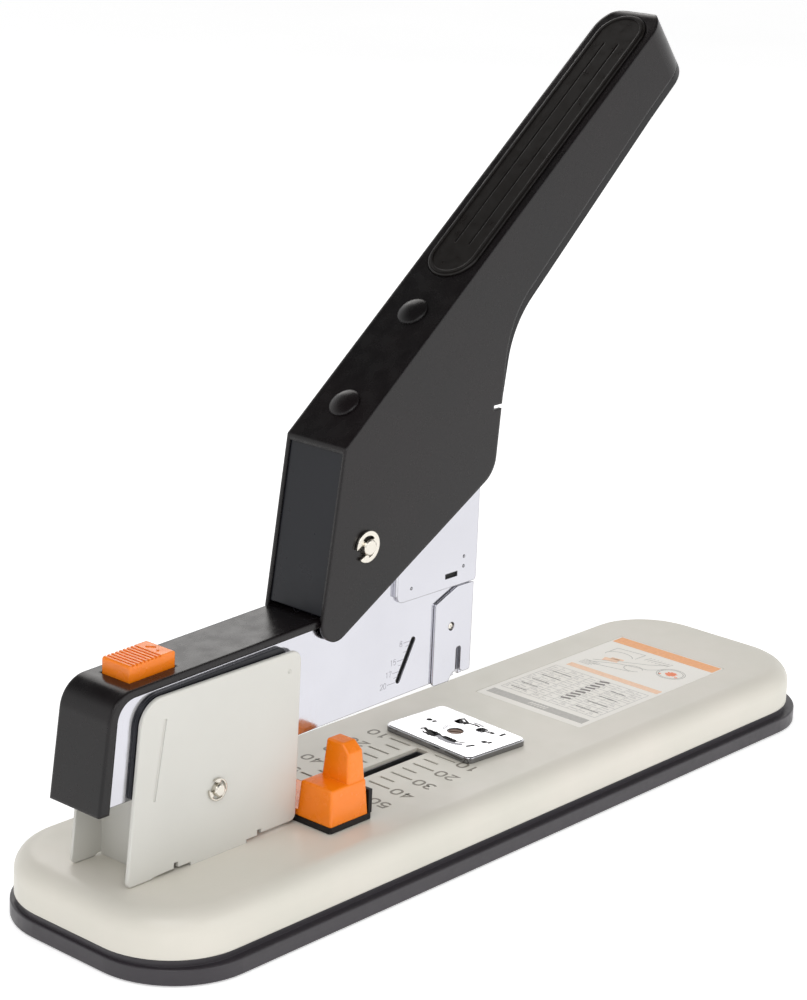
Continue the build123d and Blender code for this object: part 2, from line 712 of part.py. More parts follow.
def handle_form(inset, lower_trim):
    """Solid form of the handle: side view crossed with its rounded plan."""
    half = HANDLE_OUTER - inset
    radii = [1.0, 6.0, 9.0, 0, 30.0, 0, 6.0, 5.0]
    side = plate(handle_side_outline(lower_trim), -half, half, radii)
    frame = slope_frame(HANDLE_END_X)
    plan = Pos(-150 - inset, 0, 0) * RectangleRounded(300, 2 * half, half - 0.01)
    plan_solid = extrude(frame * plan, 90, both=True)
    return side & plan_solid


def handle_shell():
    """Folded steel handle: top, two side plates and a rounded end."""
    z = BASE_TOP
    shell = handle_form(0, 2.5)
    under_top = slope_frame(0) * Pos(0, 0, -HANDLE_WALL - 100) * Box(600, 60, 200)
    inner = handle_form(HANDLE_WALL, -8)
    core = inner & under_top
    wide = block((-100, HANDLE_TOP_X + 12), (-HANDLE_INNER, HANDLE_INNER), (0, 250)) & under_top
    shell -= core
    shell -= wide
    low_zone = block((-100, 20), (-HANDLE_INNER, HANDLE_INNER), (z + 30, z + 112))
    shell -= low_zone & under_top
    shell -= block((2.4, 20), (-20, 20), (z + 108.6, z + 109.9))
    shell -= cross_pin(PIVOT_X, PIVOT_Z, PIVOT_PIN_R + RUNNING_CLEARANCE, 20)
    pad = RectangleRounded(PAD_LENGTH, 2 * PAD_HALF, PAD_HALF - 0.01)
    shell -= extrude(slope_frame(PAD_CENTRE) * Pos(0, 0, -0.5) * pad, 3)
    for x in RIVET_X:
        shell -= slope_frame(x) * Cylinder(2.2, 10)
    return shell


def handle_under_cover():
    """Moulded lower edge of the grip, closing the steel channel from below."""
    z = BASE_TOP
    band = handle_form(0, 0) - handle_form(0, 2.5)
    band -= block((-200, 100), (-50, 50), (0, z + 110.4))
    floor_zone = handle_form(HANDLE_WALL + 0.1, 0) - handle_form(0, 4.0)
    floor_zone -= block((-200, 100), (-50, 50), (0, z + 112))
    return (band + floor_zone).solids().sort_by(SortBy.VOLUME)[-1]


def handle_inner_plate():
    """Bent inner plate: the rear face and a strip under the top face."""
    z = BASE_TOP
    rear = [(-68.5, z + 59.8), (-61.6, z + 106.6), (-60.1, z + 106.6), (-67.0, z + 59.8)]
    face = plate(rear, -HANDLE_INNER + 0.1, HANDLE_INNER - 0.1)
    lips = [(-68.5, z + 59.8), (-61.6, z + 106.0), (-57.4, z + 104.0), (-62.4, z + 70.0), (-63.4, z + 59.8)]
    lip = plate(lips, 9.5, HANDLE_INNER - 0.1, [0.5, 0.5, 2, 2, 1])
    length = 66.0
    strip = Box(length, 2 * HANDLE_INNER - 0.4, 1.4)
    strip = slope_frame(-37.5) * Pos(0, 0, -HANDLE_WALL - 0.7) * strip
    strip -= block((-100, -61.2), (-20, 20), (0, 250))
    for x in RIVET_X:
        strip -= slope_frame(x) * Cylinder(2.2, 10)
    return face + both_sides(lip) + strip


def handle_rivets():
    """Two domed rivets through the handle's top face."""
    rivets = Part()
    for x in RIVET_X:
        dome = Pos(0, 0, -10.6) * Sphere(12.0) & Pos(0, 0, 1.5) * Cylinder(RIVET_RADIUS, 3.0)
        shank = Pos(0, 0, -1.25) * Cylinder(2.2, 2.5)
        tail = Pos(0, 0, -3.0) * Cylinder(3.4, 1.0)
        rivets += slope_frame(x) * (dome + shank + tail)
    return rivets


def grip_pad():
    """Long rounded pad let into the top of the grip."""
    pad = RectangleRounded(PAD_LENGTH - 0.4, 2 * PAD_HALF - 0.4, PAD_HALF - 0.21)
    solid = extrude(Pos(0, 0, -0.5) * pad, 1.2)
    solid = fillet(solid.faces().sort_by(Axis.Z)[-1].edges(), 0.5)
    for side in (-1, 1):
        solid -= Pos(0, side * 2.6, 0.7) * Box(PAD_LENGTH * 0.77, 0.5, 0.5)
    return slope_frame(PAD_CENTRE) * solid


def push_lever():
    """Lever inside the handle that works the driver."""
    pin_x, pin_z = link_centre()
    drop = (HANDLE_WALL + 1.5) / cos(radians(HANDLE_SLOPE))
    outline = [
        (-46.5, handle_top(-46.5) - drop), (-28.0, handle_top(-28.0) - drop),
        (pin_x + 4.4, pin_z + 1.5), (pin_x + 1.0, pin_z - 4.3), (pin_x - 5.0, pin_z - 2.0),
    ]
    lever = plate(outline, -3.0, 3.0, [2, 2, 2, 2, 4])
    return lever - cross_pin(pin_x, pin_z, LINK_PIN_R, 10)


def link_pin():
    """Cross pin at the lever's tip, in the driver's open slots."""
    pin_x, pin_z = link_centre()
    return cross_pin(pin_x, pin_z, LINK_PIN_R, 6.8)


def pivot_pin():
    """Pin that the handle turns on."""
    pin = cross_pin(PIVOT_X, PIVOT_Z, PIVOT_PIN_R, 13.4)
    return chamfer(pin.edges().filter_by(GeomType.CIRCLE), 0.4)


def pivot_clips():
    """Retaining clips on both ends of the pivot pin."""
    return both_sides(e_clip(PIVOT_X, PIVOT_Z, HANDLE_OUTER + 0.55, PIVOT_PIN_R, 4.7, 0.8, 25))


def pivot_washers():
    """Spacer washers between the housing and the handle's side plates."""
    middle = (HOUSING_OUTER + HANDLE_INNER) / 2 - 0.05
    ring = Cylinder(4.8, 1.0) - Cylinder(PIVOT_PIN_R, 1.0)
    return both_sides(Pos(PIVOT_X, middle, PIVOT_Z) * Rot(90, 0, 0) * ring)


def handle_spring():
    """Torsion spring on the pivot pin that lifts the handle."""
    turns = Pos(PIVOT_X, -7.4, PIVOT_Z) * Rot(-90, 0, 0) * coil(4.0, 1.3, 1.6, 4.0)
    leg = Pos(PIVOT_X + 4.0, -7.4, PIVOT_Z + 17) * Cylinder(0.65, 34)
    return turns + leg


# --------------------------------------------------------------------- export
PIECES = [
    base_tray, rubber_feet, base_cover, base_plate, base_screws, label_card,
    anvil_plate, anvil_screw, anvil_bush, anvil_nut, anvil_spring,
    depth_stop_base, depth_stop, depth_stop_clip,
    guard_bracket, hinge_pin, hinge_clips, arm_return_spring,
    magazine_housing, top_cover, head_plate, nose_plate,
    magazine_tray, tray_front_block, staple_strip, staple_pusher, guide_rod, pusher_spring,
    release_button, latch_plate, latch_bracket, button_spring,
    driver_blade, handle_shell, handle_under_cover, handle_inner_plate, handle_rivets,
    grip_pad, push_lever, link_pin, pivot_pin, pivot_clips, pivot_washers, handle_spring,
]

os.makedirs("parts", exist_ok=True)
for make in PIECES:
    export_step(make(), f"parts/{make.__name__}.step")
export_step(arm_cheek(), "parts/arm_cheek_left.step")
export_step(mirror(arm_cheek(), about=Plane.XZ), "parts/arm_cheek_right.step")
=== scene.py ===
"""Looks of the heavy-duty desktop lever stapler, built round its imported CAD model.

Metres, in the CAD's own frame: +X is the label end of the base, +Z is up, and
the camera stands behind and to the left of the arm's hinge.
"""

import math

import bmesh
import bpy
from mathutils import Matrix, Vector


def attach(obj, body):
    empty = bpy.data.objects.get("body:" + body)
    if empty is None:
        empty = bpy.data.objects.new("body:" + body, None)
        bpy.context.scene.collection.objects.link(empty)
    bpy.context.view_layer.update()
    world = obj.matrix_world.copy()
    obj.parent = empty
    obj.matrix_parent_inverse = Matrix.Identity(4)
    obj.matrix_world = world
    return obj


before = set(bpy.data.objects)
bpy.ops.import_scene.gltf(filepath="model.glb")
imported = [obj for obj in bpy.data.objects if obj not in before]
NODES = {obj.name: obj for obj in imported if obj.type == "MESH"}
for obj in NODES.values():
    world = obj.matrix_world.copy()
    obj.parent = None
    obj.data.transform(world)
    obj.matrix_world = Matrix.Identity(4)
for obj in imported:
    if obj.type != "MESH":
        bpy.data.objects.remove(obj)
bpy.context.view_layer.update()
MM = 0.001

# Where artwork lies, in millimetres: heights above the floor, and distances from the middle plane.
BASE_TOP = 20.0
GROOVE_SHADE = 19.72
CARD_PRINT = 19.95
CARD_OVERPRINT = 19.99
ANVIL_PRINT = 22.15
ANVIL_OVERPRINT = 22.19
ARM_SIDE = 9.2
WINDOW_SHADE = 8.2
WINDOW_WIRE = 8.27
SLOT_SHADE = 9.215


# ------------------------------------------------------------------ materials
def srgb(red, green, blue):
    """Linear RGBA of a display colour."""
    linear = [c / 12.92 if c <= 0.04045 else ((c + 0.055) / 1.055) ** 2.4 for c in (red, green, blue)]
    return (*linear, 1.0)


def scaled(colour, factor):
    """A colour made lighter or darker."""
    return tuple(min(1.0, c * factor) for c in colour[:3]) + (1.0,)


class Finish:
    """Procedural material: mottled colour, uneven gloss, fine grain and soft edges."""

    def __init__(self, name):
        self.material = bpy.data.materials.new(name)
        self.material.use_nodes = True
        self.tree = self.material.node_tree
        self.shader = self.tree.nodes["Principled BSDF"]
        self.place = self.node("ShaderNodeTexCoord").outputs["Object"]

    def node(self, kind, **values):
        made = self.tree.nodes.new(kind)
        for key, value in values.items():
            setattr(made, key, value)
        return made

    def link(self, a, b):
        self.tree.links.new(a, b)

    def feed(self, socket, name):
        """Drive one of the shader's inputs from a socket."""
        self.link(socket, self.shader.inputs[name])

    def fix(self, name, value):
        """Set one of the shader's inputs."""
        self.shader.inputs[name].default_value = value

    def noise(self, scale, detail=3.0, stretch=(1, 1, 1), distortion=0.0):
        """Noise in object space.  scale is in cells per metre."""
        mapping = self.node("ShaderNodeMapping")
        mapping.inputs["Scale"].default_value = stretch
        self.link(self.place, mapping.inputs["Vector"])
        noise = self.node("ShaderNodeTexNoise")
        noise.inputs["Scale"].default_value = scale
        noise.inputs["Detail"].default_value = detail
        noise.inputs["Distortion"].default_value = distortion
        self.link(mapping.outputs["Vector"], noise.inputs["Vector"])
        return noise.outputs["Fac"]

    def ranged(self, value, low, high, start=0.3, end=0.7):
        """Value from a start-end band spread over low-high."""
        spread = self.node("ShaderNodeMapRange")
        spread.inputs["From Min"].default_value = start
        spread.inputs["From Max"].default_value = end
        spread.inputs["To Min"].default_value = low
        spread.inputs["To Max"].default_value = high
        self.link(value, spread.inputs["Value"])
        return spread.outputs["Result"]

    def mixed(self, factor, a, b):
        """Colour between a and b.  Either may be a socket."""
        mix = self.node("ShaderNodeMix", data_type="RGBA")
        self.link(factor, mix.inputs["Factor"])
        for value, socket in ((a, mix.inputs[6]), (b, mix.inputs[7])):
            if isinstance(value, bpy.types.NodeSocket):
                self.link(value, socket)
            else:
                socket.default_value = value
        return mix.outputs[2]

    def edges(self, radius):
        """1 on sharp edges and 0 on flat faces, and the softened normal."""
        bevel = self.node("ShaderNodeBevel", samples=6)
        bevel.inputs["Radius"].default_value = radius
        geometry = self.node("ShaderNodeNewGeometry")
        dot = self.node("ShaderNodeVectorMath", operation="DOT_PRODUCT")
        self.link(bevel.outputs["Normal"], dot.inputs[0])
        self.link(geometry.outputs["Normal"], dot.inputs[1])
        return self.ranged(dot.outputs["Value"], 1.0, 0.0, 0.75, 0.98), bevel.outputs["Normal"]

    def bumped(self, normal, layers):
        """Normal after one bump for each (height socket, distance, strength)."""
        for height, distance, strength in layers:
            bump = self.node("ShaderNodeBump")
            bump.inputs["Distance"].default_value = distance
            bump.inputs["Strength"].default_value = strength
            self.link(height, bump.inputs["Height"])
            if normal is not None:
                self.link(normal, bump.inputs["Normal"])
            normal = bump.outputs["Normal"]
        self.link(normal, self.shader.inputs["Normal"])


def painted(name, colour, rough, mottle=0.05, peel=0.25, edge=1.1, specular=0.5, warm=None,
            soft_radius=0.45):
    """Sprayed paint on steel: faint cloudiness, orange peel and lighter edges, which are a painted highlight.
    """
    finish = Finish(name)
    cloud = finish.ranged(finish.noise(26, 4), 0.0, 1.0)
    body = finish.mixed(cloud, scaled(colour, 1 - mottle), scaled(warm or colour, 1 + mottle))
    edge_highlight, soft = finish.edges(soft_radius * MM)
    # Edges are painted lighter, edge times the colour: a painted highlight along the rounded edges.
    finish.feed(finish.mixed(edge_highlight, body, scaled(colour, edge)), "Base Color")
    finish.feed(finish.ranged(finish.noise(180, 5), rough - 0.05, rough + 0.07), "Roughness")
    finish.fix("Specular IOR Level", specular)
    finish.bumped(soft, [(finish.noise(1500, 2), 0.02 * MM, peel), (finish.noise(60, 2), 0.12 * MM, 0.1)])
    return finish.material


def moulded(name, colour, rough, grain=0.5, specular=0.5, glow=0.0, mottle=0.04, edge=1.15):
    """Moulded plastic: fine spark-eroded grain, faint flow marks and lighter edges, which are a painted
    highlight.
    """
    finish = Finish(name)
    flow = finish.ranged(finish.noise(40, 3, (1, 2.5, 1), 0.6), 0.0, 1.0)
    body = finish.mixed(flow, scaled(colour, 1 - mottle), scaled(colour, 1 + mottle))
    edge_highlight, soft = finish.edges(0.4 * MM)
    # Edges are painted lighter, edge times the colour: a painted highlight along the rounded edges.
    finish.feed(finish.mixed(edge_highlight, body, scaled(colour, edge)), "Base Color")
    finish.feed(finish.ranged(finish.noise(320, 4), rough - 0.06, rough + 0.08), "Roughness")
    finish.fix("Specular IOR Level", specular)
    finish.fix("Subsurface Weight", glow)
    finish.fix("Subsurface Radius", (0.004, 0.0018, 0.0006))
    finish.fix("Subsurface Scale", 1.0)
    finish.bumped(soft, [(finish.noise(2600, 3), 0.03 * MM, grain)])
    return finish.material


def metal(name, colour, rough, streak=(1, 1, 1), ripple=0.1, scratch=0.1, tint=0.04, edge_shade=1.0, side=1.0):
    """Plated or bare steel: cloudy polish, drawn streaks, slow ripples, and edges and upright faces painted
    darker as painted shade.
    """
    finish = Finish(name)
    cloud = finish.ranged(finish.noise(30, 5, distortion=0.4), 0.0, 1.0)
    sheet = finish.mixed(cloud, scaled(colour, 1 - tint), scaled(colour, 1 + tint))
    # Upright faces are painted darker, down to side times the colour, as painted shade; faces that look up
    # keep the full colour.
    if side < 1.0:
        split = finish.node("ShaderNodeSeparateXYZ")
        finish.link(finish.node("ShaderNodeNewGeometry").outputs["Normal"], split.inputs[0])
        flat = finish.ranged(split.outputs["Z"], 0.0, 1.0, 0.1, 0.7)
        sheet = finish.mixed(flat, scaled(colour, side), sheet)
    # Edges are painted darker here, a painted shade standing in for the dark that edges reflect.
    cut, soft = finish.edges(0.4 * MM)
    finish.feed(finish.mixed(cut, sheet, scaled(colour, edge_shade)), "Base Color")
    lines = finish.noise(420, 6, streak)
    finish.feed(finish.ranged(lines, rough - 0.05, rough + 0.08), "Roughness")
    finish.fix("Metallic", 1.0)
    finish.bumped(soft, [(lines, 0.02 * MM, scratch), (finish.noise(34, 2), 0.25 * MM, ripple)])
    return finish.material


def printed(name, colour, rough=0.5):
    """Ink: slightly uneven cover, matt."""
    finish = Finish(name)
    cover = finish.ranged(finish.noise(900, 4), 0.0, 1.0)
    finish.feed(finish.mixed(cover, scaled(colour, 0.92), scaled(colour, 1.08)), "Base Color")
    finish.feed(finish.ranged(finish.noise(500, 3), rough - 0.06, rough + 0.06), "Roughness")
    finish.bumped(None, [(finish.noise(3000, 2), 0.01 * MM, 0.2)])
    return finish.material


def card_paper():
    """Coated card with a faint fibre and a few warm patches."""
    finish = Finish("card")
    base = srgb(0.965, 0.955, 0.93)
    fibre = finish.ranged(finish.noise(700, 6, (1, 3, 1)), 0.0, 1.0)
    patch = finish.ranged(finish.noise(45, 2), 0.0, 1.0)
    tone = finish.mixed(fibre, scaled(base, 0.97), base)
    finish.feed(finish.mixed(patch, tone, srgb(0.95, 0.935, 0.905)), "Base Color")
    finish.feed(finish.ranged(fibre, 0.4, 0.55, 0, 1), "Roughness")
    finish.bumped(None, [(fibre, 0.02 * MM, 0.15)])
    return finish.material


def build_materials():
    """Every finish by name."""
    beige = srgb(0.845, 0.835, 0.79)
    steel = srgb(0.80, 0.80, 0.825)
    return {
        "base_paint": painted("base_paint", beige, 0.36, 0.025, 0.3, 1.06, warm=srgb(0.86, 0.84, 0.80)),
        "guard_paint": painted("guard_paint", srgb(0.82, 0.815, 0.79), 0.34, 0.03, 0.3, 1.08),
        "tray_plastic": moulded("tray_plastic", srgb(0.19, 0.175, 0.195), 0.38, 0.5, 0.5),
        "foot_rubber": moulded("foot_rubber", srgb(0.1, 0.1, 0.1), 0.75, 0.9, 0.3),
        "plain_steel": metal("plain_steel", srgb(0.66, 0.66, 0.67), 0.36, (1, 14, 14), 0.1, 0.4),
        # Chrome's edges are painted darker as painted shade; chrome_plate also paints its upright faces darker
        # as painted shade.
        "chrome": metal("chrome", steel, 0.13, (2, 30, 0.6), 0.3, 0.05, 0.035, 0.1),
        "chrome_plate": metal(
            "chrome_plate", srgb(0.90, 0.90, 0.91), 0.1, (2, 30, 0.6), 0.2, 0.06, 0.03, 0.35, 0.3),
        "nickel": metal("nickel", srgb(0.86, 0.84, 0.80), 0.2, (1, 1, 1), 0.1, 0.2),
        "label": card_paper(),
        "orange_plastic": moulded("orange_plastic", srgb(0.99, 0.515, 0.05), 0.24, 0.1, 0.5, 0.05, 0.03, 1.08),
        "black_plastic": moulded("black_plastic", srgb(0.075, 0.07, 0.075), 0.36, 0.4, 0.3),
        "black_paint": painted(
            "black_paint", srgb(0.05, 0.044, 0.048), 0.25, 0.2, 0.25, 3.0, 0.34,
            warm=srgb(0.065, 0.045, 0.05), soft_radius=1.1),
        "dark_paint": painted("dark_paint", srgb(0.1, 0.105, 0.125), 0.3, 0.1, 0.3, 1.8, 0.3),
        "grip": moulded("grip", srgb(0.075, 0.062, 0.055), 0.33, 0.5, 0.28),
        "spring_steel": metal("spring_steel", srgb(0.5, 0.5, 0.52), 0.3, (1, 1, 1), 0.0, 0.3),
        "staple_wire": metal("staple_wire", srgb(0.8, 0.8, 0.82), 0.24, (90, 1, 1), 0.0, 0.9),
        "brass_screw": metal("brass_screw", srgb(0.36, 0.28, 0.23), 0.3, (1, 1, 1), 0.3, 0.6, 0.4),
        # Darker grey drawn as the painted shade of the base's engraved marks.
        "engraving_shade": printed("engraving_shade", srgb(0.52, 0.50, 0.455), 0.5),
        "etch_and_shade_grey": printed("etch_and_shade_grey", srgb(0.60, 0.60, 0.63), 0.4),
        "ink_grey": printed("ink_grey", srgb(0.74, 0.73, 0.71)),
        "ink_dark": printed("ink_dark", srgb(0.50, 0.48, 0.47)),
        "ink_fine": printed("ink_fine", srgb(0.80, 0.79, 0.775)),
        "ink_orange": printed("ink_orange", srgb(0.985, 0.70, 0.48)),
        "ink_peach": printed("ink_peach", srgb(0.985, 0.82, 0.70)),
        "ink_red": printed("ink_red", srgb(0.98, 0.55, 0.38)),
        "shadow_gap": printed("shadow_gap", srgb(0.05, 0.05, 0.05), 0.7),
    }


NODE_FINISH = {
    "base_tray": "tray_plastic", "rubber_feet": "foot_rubber", "base_cover": "base_paint",
    "base_plate": "plain_steel", "base_screws": "plain_steel", "label_card": "label",
    "anvil_plate": "chrome_plate", "anvil_screw": "brass_screw", "anvil_bush": "plain_steel",
    "anvil_nut": "plain_steel", "anvil_spring": "spring_steel",
    "depth_stop_base": "black_plastic", "depth_stop": "orange_plastic", "depth_stop_clip": "plain_steel",
    "guard_bracket": "guard_paint", "hinge_pin": "nickel", "hinge_clips": "nickel",
    "arm_return_spring": "spring_steel",
    "magazine_housing": "chrome", "top_cover": "black_paint", "head_plate": "chrome",
    "nose_plate": "chrome", "arm_cheek_left": "dark_paint", "arm_cheek_right": "dark_paint",
    "magazine_tray": "plain_steel", "tray_front_block": "plain_steel", "staple_strip": "staple_wire",
    "staple_pusher": "plain_steel", "guide_rod": "plain_steel", "pusher_spring": "spring_steel",
    "release_button": "orange_plastic", "latch_plate": "plain_steel", "latch_bracket": "plain_steel",
    "button_spring": "spring_steel", "driver_blade": "plain_steel",
    "handle_shell": "black_paint", "handle_under_cover": "black_plastic",
    "handle_inner_plate": "dark_paint", "handle_rivets": "black_paint", "grip_pad": "grip",
    "push_lever": "plain_steel", "link_pin": "plain_steel", "pivot_pin": "nickel",
    "pivot_clips": "nickel", "pivot_washers": "plain_steel", "handle_spring": "spring_steel",
}


def dress_nodes(finishes):
    """Give each CAD node its finish."""
    for name, node in NODES.items():
        material = finishes[NODE_FINISH[name]]
        node.data.materials.clear()
        node.data.materials.append(material)


# --------------------------------------------------------------- flat artwork
def arc(x, y, rx, ry, start, end, steps=10):
    """Points along part of an ellipse, angles in degrees."""
    angles = [math.radians(start + (end - start) * i / steps) for i in range(steps + 1)]
    return [(x + rx * math.cos(a), y + ry * math.sin(a)) for a in angles]


GLYPH_WIDTH = 0.62


def glyph(digit):
    """Strokes of a digit in a box 0.62 wide and 1 high."""
    w = GLYPH_WIDTH
    half = w / 2
    return {
        "0": [arc(half, 0.68, half, 0.32, 0, 180, 8) + arc(half, 0.32, half, 0.32, 180, 360, 8) + [(w, 0.68)]],
        "1": [[(half - 0.16, 0.82), (half + 0.04, 1.0), (half + 0.04, 0.0)]],
        "2": [arc(half, 0.72, half, 0.28, 165, -35, 9) + [(0.0, 0.0), (w, 0.0)]],
        "3": [arc(half, 0.75, half * 0.9, 0.25, 150, -90, 9), arc(half, 0.25, half, 0.25, 90, -150, 9)],
        "4": [[(w * 0.75, 0.0), (w * 0.75, 1.0), (0.0, 0.3), (w, 0.3)]],
        "5": [[(w * 0.95, 1.0), (0.08, 1.0), (0.03, 0.55)] + arc(half, 0.32, half, 0.32, 120, -150, 10)],
        "7": [[(0.0, 1.0), (w, 1.0), (w * 0.35, 0.0)]],
        "8": [arc(half, 0.76, half * 0.86, 0.24, -90, 270, 14), arc(half, 0.26, half, 0.26, 90, 450, 14)],
    }[digit]


def digits(text, x, y, height, gap=0.22):
    """Strokes of a number whose lower left corner is at x, y."""
    strokes = []
    for i, digit in enumerate(text):
        shift = x + i * height * (GLYPH_WIDTH + gap)
        strokes += [[(shift + px * height, y + py * height) for px, py in line] for line in glyph(digit)]
    return strokes


def ribbon(verts, faces, points, width, height):
    """Add a closed flat ribbon along a line of points, standing height above z = 0."""
    count = len(points)
    start = len(verts)
    for i, (x, y) in enumerate(points):
        ahead = Vector(points[min(i + 1, count - 1)]) - Vector(points[i])
        behind = Vector(points[i]) - Vector(points[max(i - 1, 0)])
        if ahead.length < 1e-9:
            ahead = behind
        if behind.length < 1e-9:
            behind = ahead
        ahead.normalize()
        behind.normalize()
        way = (ahead + behind).normalized()
        side = Vector((-way.y, way.x)) * (width / 2 / max(0.5, way.dot(ahead)))
        for sign in (1, -1):
            for z in (height, -height * 0.5):
                verts.append((x + sign * side.x, y + sign * side.y, z))
    for i in range(count - 1):
        a = start + 4 * i
        b = a + 4
        faces += [(a, a + 2, b + 2, b), (a + 1, b + 1, b + 3, a + 3),
                  (a, b, b + 1, a + 1), (a + 2, a + 3, b + 3, b + 2)]
    last = start + 4 * (count - 1)
    faces += [(start, start + 1, start + 3, start + 2), (last, last + 2, last + 3, last + 1)]


def plane(origin, x_dir, y_dir):
    """Matrix of a drawing plane, with its origin in millimetres."""
    x = Vector(x_dir).normalized()
    y = Vector(y_dir).normalized()
    z = x.cross(y)
    matrix = Matrix((x, y, z)).transposed().to_4x4()
    matrix.translation = Vector(origin) * MM
    return matrix


def artwork(name, body, where, material, strokes, height=0.04):
    """One piece of flat strokes.  strokes is a list of (points, width), in millimetres."""
    verts = []
    faces = []
    for points, width in strokes:
        ribbon(verts, faces, points, width, height)
    mesh = bpy.data.meshes.new(name)
    mesh.from_pydata([where @ (Vector(v) * MM) for v in verts], [], faces)
    mesh.validate()
    mesh.materials.append(material)
    piece = bpy.data.objects.new(name, mesh)
    bpy.context.scene.collection.objects.link(piece)
    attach(piece, body)
    return piece


def bar(x_low, x_high, y_low, y_high):
    """A filled rectangle as one wide stroke."""
    middle = (y_low + y_high) / 2
    return ([(x_low, middle), (x_high, middle)], y_high - y_low)


def base_numbers(finishes):
    """Numbers of the depth scale, read from the label end; the numbers are engraved, and their darker grey is
    painted shade of the engraving.
    """
    where = plane((0, 0, BASE_TOP), (0, 1, 0), (-1, 0, 0))
    strokes = []
    for value in (10, 20, 30, 40, 50):
        for left in (-21.8, 14.8):
            text = digits(str(value), left, value - 1.85, 3.7, 0.3)
            wide = [[(left + (x - left) * 1.2, y) for x, y in line] for line in text]
            strokes += [(line, 0.75) for line in wide]
    artwork("scale_numbers", "base", where, finishes["engraving_shade"], strokes, 0.03)


def scale_fills(finishes):
    """Dark strips lying in the scale's grooves: painted shade, not paint."""
    where = plane((0, 0, GROOVE_SHADE), (0, 1, 0), (-1, 0, 0))
    strokes = []
    for step in range(11):
        x = 10.0 + 5.0 * step
        reach = 5.5 if step % 2 else 8.2
        for side in (-1, 1):
            strokes.append(([(side * 5.1, x), (side * (5.1 + reach), x)], 0.74))
    artwork("scale_fills", "base", where, finishes["engraving_shade"], strokes, 0.03)


CARD_ROW = 3.6
CARD_COLUMN = 3.88


def card_table():
    """Fine rules of the card's table, with short bars in its cells."""
    left = -19.4
    low = 51.5
    high = 80.3
    strokes = []
    for row in range(9):
        y = low + row * CARD_ROW
        strokes.append(([(left, y), (-left, y)], 0.22))
    for column in range(11):
        x = left + column * CARD_COLUMN
        strokes.append(([(x, low), (x, high)], 0.2))
    for row in range(8):
        for column in range(10):
            x = -18.9 + column * CARD_COLUMN
            y = 52.6 + row * CARD_ROW
            length = 1.1 + 1.7 * ((row * 7 + column * 5) % 9) / 8
            strokes.append(([(x, y + 0.5), (x + length, y + 0.5)], 0.34))
            if (row + column) % 3 == 0:
                strokes.append(([(x, y + 1.4), (x + length * 0.7, y + 1.4)], 0.3))
    return strokes


def card_bars():
    """Darker bars over the table."""
    strokes = []
    for i in range(9):
        y = 58.0 + i * 2.6
        strokes.append(([(0.4, y), (3.6, y + 1.1)], 1.15))
    for i in range(5):
        y = 54.2 + i * 5.2
        strokes.append(([(-17.5 + i * 0.2, y), (-11.0 + i * 0.6, y)], 0.34))
    for i in range(4):
        y = 55.6 + i * 6.2
        strokes.append(([(8.5, y), (17.6 - i, y)], 0.34))
    return strokes


def card_drawing():
    """Line drawing of an arm over a base, with a round close-up beside it."""
    strokes = []
    for rx, ry in ((5.0, 4.6), (4.3, 3.9)):
        strokes.append((arc(12.4, 102.2, rx, ry, 0, 360, 40), 0.26))
    strokes.append((arc(0.5, 97.0, 3.4, 2.6, 20, 330, 24), 0.26))
    strokes.append(([(-14.5, 92.0), (-5.2, 97.4), (4.6, 99.6), (9.0, 104.4)], 0.3))
    strokes.append(([(-14.5, 94.2), (-7.8, 98.4), (2.0, 103.8), (7.0, 108.2)], 0.3))
    strokes.append(([(-13.0, 90.6), (-3.6, 92.8), (1.2, 94.0)], 0.3))
    strokes.append((arc(-10.4, 103.4, 5.2, 3.4, 200, 20, 18), 0.26))
    strokes.append(([(-15.4, 104.6), (-15.4, 109.4), (-4.4, 110.6), (-4.6, 105.0)], 0.26))
    for i in range(7):
        strokes.append(([(-2.0 + i * 1.5, 106.6), (-1.2 + i * 1.5, 109.8)], 0.26))
    for i in range(5):
        y = 88.9 + i * 0.9
        strokes.append(([(-16.4, y), (-12.0 + i * 0.5, y)], 0.2))
    return strokes


def card_blot():
    """Warm patch inside the round close-up."""
    strokes = []
    for i, reach in enumerate((0.8, 1.7, 2.1, 1.6, 1.9, 1.0)):
        y = 100.6 + i * 0.62
        strokes.append(([(12.5 - reach, y), (12.5 + reach, y)], 0.6))
    strokes.append(([(8.9, 99.8), (9.7, 100.3)], 0.7))
    strokes.append(([(15.1, 100.4), (15.9, 101.0)], 0.7))
    return strokes


def label_art(finishes):
    """Generic instruction card: bands, a table, bars and a pictogram, with no words."""
    where = plane((0, 0, CARD_PRINT), (0, -1, 0), (1, 0, 0))
    lifted = plane((0, 0, CARD_OVERPRINT), (0, -1, 0), (1, 0, 0))
    marks = [([(-3.2 + i * 1.25, 45.3), (-2.5 + i * 1.25, 47.3)], 0.36) for i in range(6)]
    soft = [([(-12.6, 97.6), (-7.2, 99.0)], 3.0), ([(-11.0, 100.0), (-6.4, 100.8)], 1.4)]
    for name, at, ink, strokes, height in (
            ("header", where, "ink_grey", [bar(-19.8, 19.8, 44.2, 48.4)], 0.04),
            ("lines", where, "ink_fine", card_table(), 0.04),
            ("bars", where, "ink_dark", card_bars(), 0.06),
            ("header_marks", lifted, "label", marks, 0.04),
            ("strip", where, "ink_peach", [bar(-17.5, 20.4, 83.4, 86.6)], 0.04),
            ("band", where, "ink_orange", [bar(-21.0, 21.0, 113.8, 119.4)], 0.04),
            ("drawing", where, "ink_grey", card_drawing(), 0.04),
            ("blot", where, "ink_red", card_blot(), 0.04),
            ("soft_blot", where, "ink_peach", soft, 0.02)):
        artwork(f"label_{name}", "base", at, finishes[ink], strokes, height)


